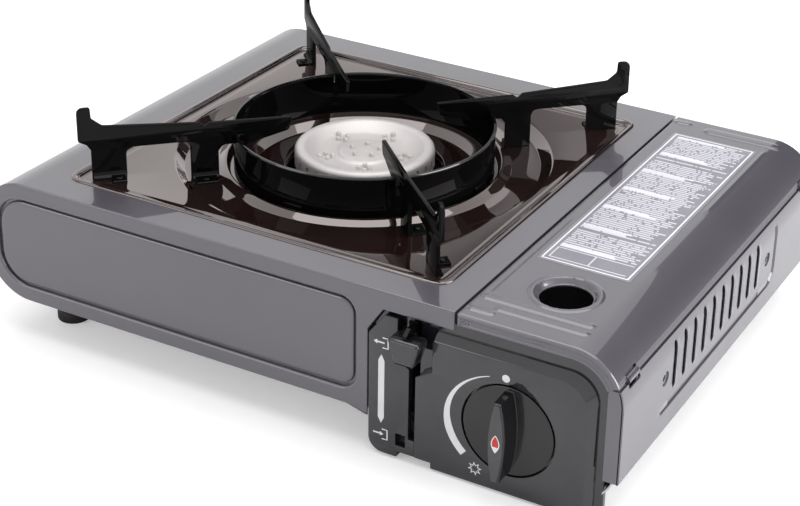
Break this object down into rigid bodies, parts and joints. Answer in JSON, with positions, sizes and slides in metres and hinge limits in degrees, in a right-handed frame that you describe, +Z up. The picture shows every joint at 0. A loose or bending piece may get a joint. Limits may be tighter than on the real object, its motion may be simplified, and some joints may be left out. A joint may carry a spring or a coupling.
{
  "type": "tabletop gas cartridge stove",
  "caption": "Tabletop gas stove with a burner, four pan arms, an ignition knob, a locking lever and a hinged cartridge lid.",
  "frame": {"origin": "centre of the outer box at ground level", "axes": "+X from the burner towards the cartridge bay, +Y from the front with the knob to the back, +Z up"},
  "size_m": [0.3485, 0.2636, 0.1226],
  "materials": {
    "casing_paint": "gloss",
    "plated_steel": "satin",
    "black_enamel": "gloss",
    "brown_enamel": "gloss",
    "cast_alloy": "satin",
    "brass": "satin",
    "black_plastic": "gloss",
    "red_mark": "gloss",
    "rubber": "matt",
    "label_foil": "satin",
    "ceramic": "satin",
    "igniter_plastic": "matt",
    "lead_sleeve": "matt"
  },
  "bodies": {
    "housing": {"base_pan": "plated_steel", "top_wrap": "casing_paint", "front_wall": "casing_paint", "back_wall": "casing_paint", "side_panel": "casing_paint", "heat_partition": "plated_steel", "left_feet": "rubber", "right_feet": "rubber", "side_screws": "plated_steel", "control_panel": "black_plastic", "lever_bracket": "plated_steel", "lever_pivot_pin": "plated_steel", "lever_spacers": "plated_steel", "regulator_block": "cast_alloy", "regulator_bracket": "plated_steel", "diaphragm_cover": "cast_alloy", "cartridge_socket": "brass", "socket_gasket": "rubber", "valve_nipple": "brass", "yoke_guide_rods": "plated_steel", "gas_pipe": "brass", "gas_jet": "brass", "jet_holder": "plated_steel", "mixing_tube": "plated_steel", "burner_cup": "cast_alloy", "burner_head": "cast_alloy", "burner_bracket": "plated_steel", "bracket_rivets": "plated_steel", "electrode_ceramic": "ceramic", "electrode_clip": "plated_steel", "spark_pin": "plated_steel", "piezo_igniter": "igniter_plastic", "ignition_lead": "lead_sleeve", "cartridge_rails": "plated_steel", "hinge_lugs": "plated_steel", "hinge_pins": "plated_steel"},
    "lid": {"cartridge_lid": "casing_paint", "lid_label": "label_foil", "lid_hinge_barrels": "plated_steel"},
    "knob": {"control_knob": "black_plastic", "knob_indicator": "red_mark", "valve_spindle": "plated_steel"},
    "lever": {"locking_lever": "black_enamel", "lever_cap": "black_plastic", "lever_finger": "plated_steel"},
    "yoke": {"locking_yoke": "plated_steel"},
    "pan_support": {"drip_tray": "brown_enamel", "wind_ring": "black_enamel", "ring_tabs": "black_enamel", "arm_rivets": "plated_steel", "pan_arm_front_right": "black_enamel", "pan_arm_back_right": "black_enamel", "pan_arm_back_left": "black_enamel", "pan_arm_front_left": "black_enamel"}
  },
  "joints": [
    {"name": "lid_hinge", "type": "hinge", "parent": "housing", "child": "lid", "pos_m": [0.17074, 0, 0.0714], "axis": [0, 1, 0], "range_deg": [0, 100]},
    {"name": "knob_turn", "type": "hinge", "parent": "housing", "child": "knob", "pos_m": [0.1204, -0.11925, 0.0344], "axis": [0, -1, 0], "range_deg": [0, 150]},
    {"name": "lever_pivot", "type": "hinge", "parent": "housing", "child": "lever", "pos_m": [0.0717, -0.08775, 0.041], "axis": [1, 0, 0], "range_deg": [0, 52]},
    {"name": "yoke_slide", "type": "slide", "parent": "housing", "child": "yoke", "axis": [0, -1, 0], "range_m": [0, 0.0076]},
    {"name": "pan_support_lift", "type": "slide", "parent": "housing", "child": "pan_support", "axis": [0, 0, 1], "range_m": [0, 0.12]}
  ],
  "couplings": [
    {"joint": "yoke_slide", "follows": "lever_pivot", "m_per_rad": 0.00833}
  ]
}
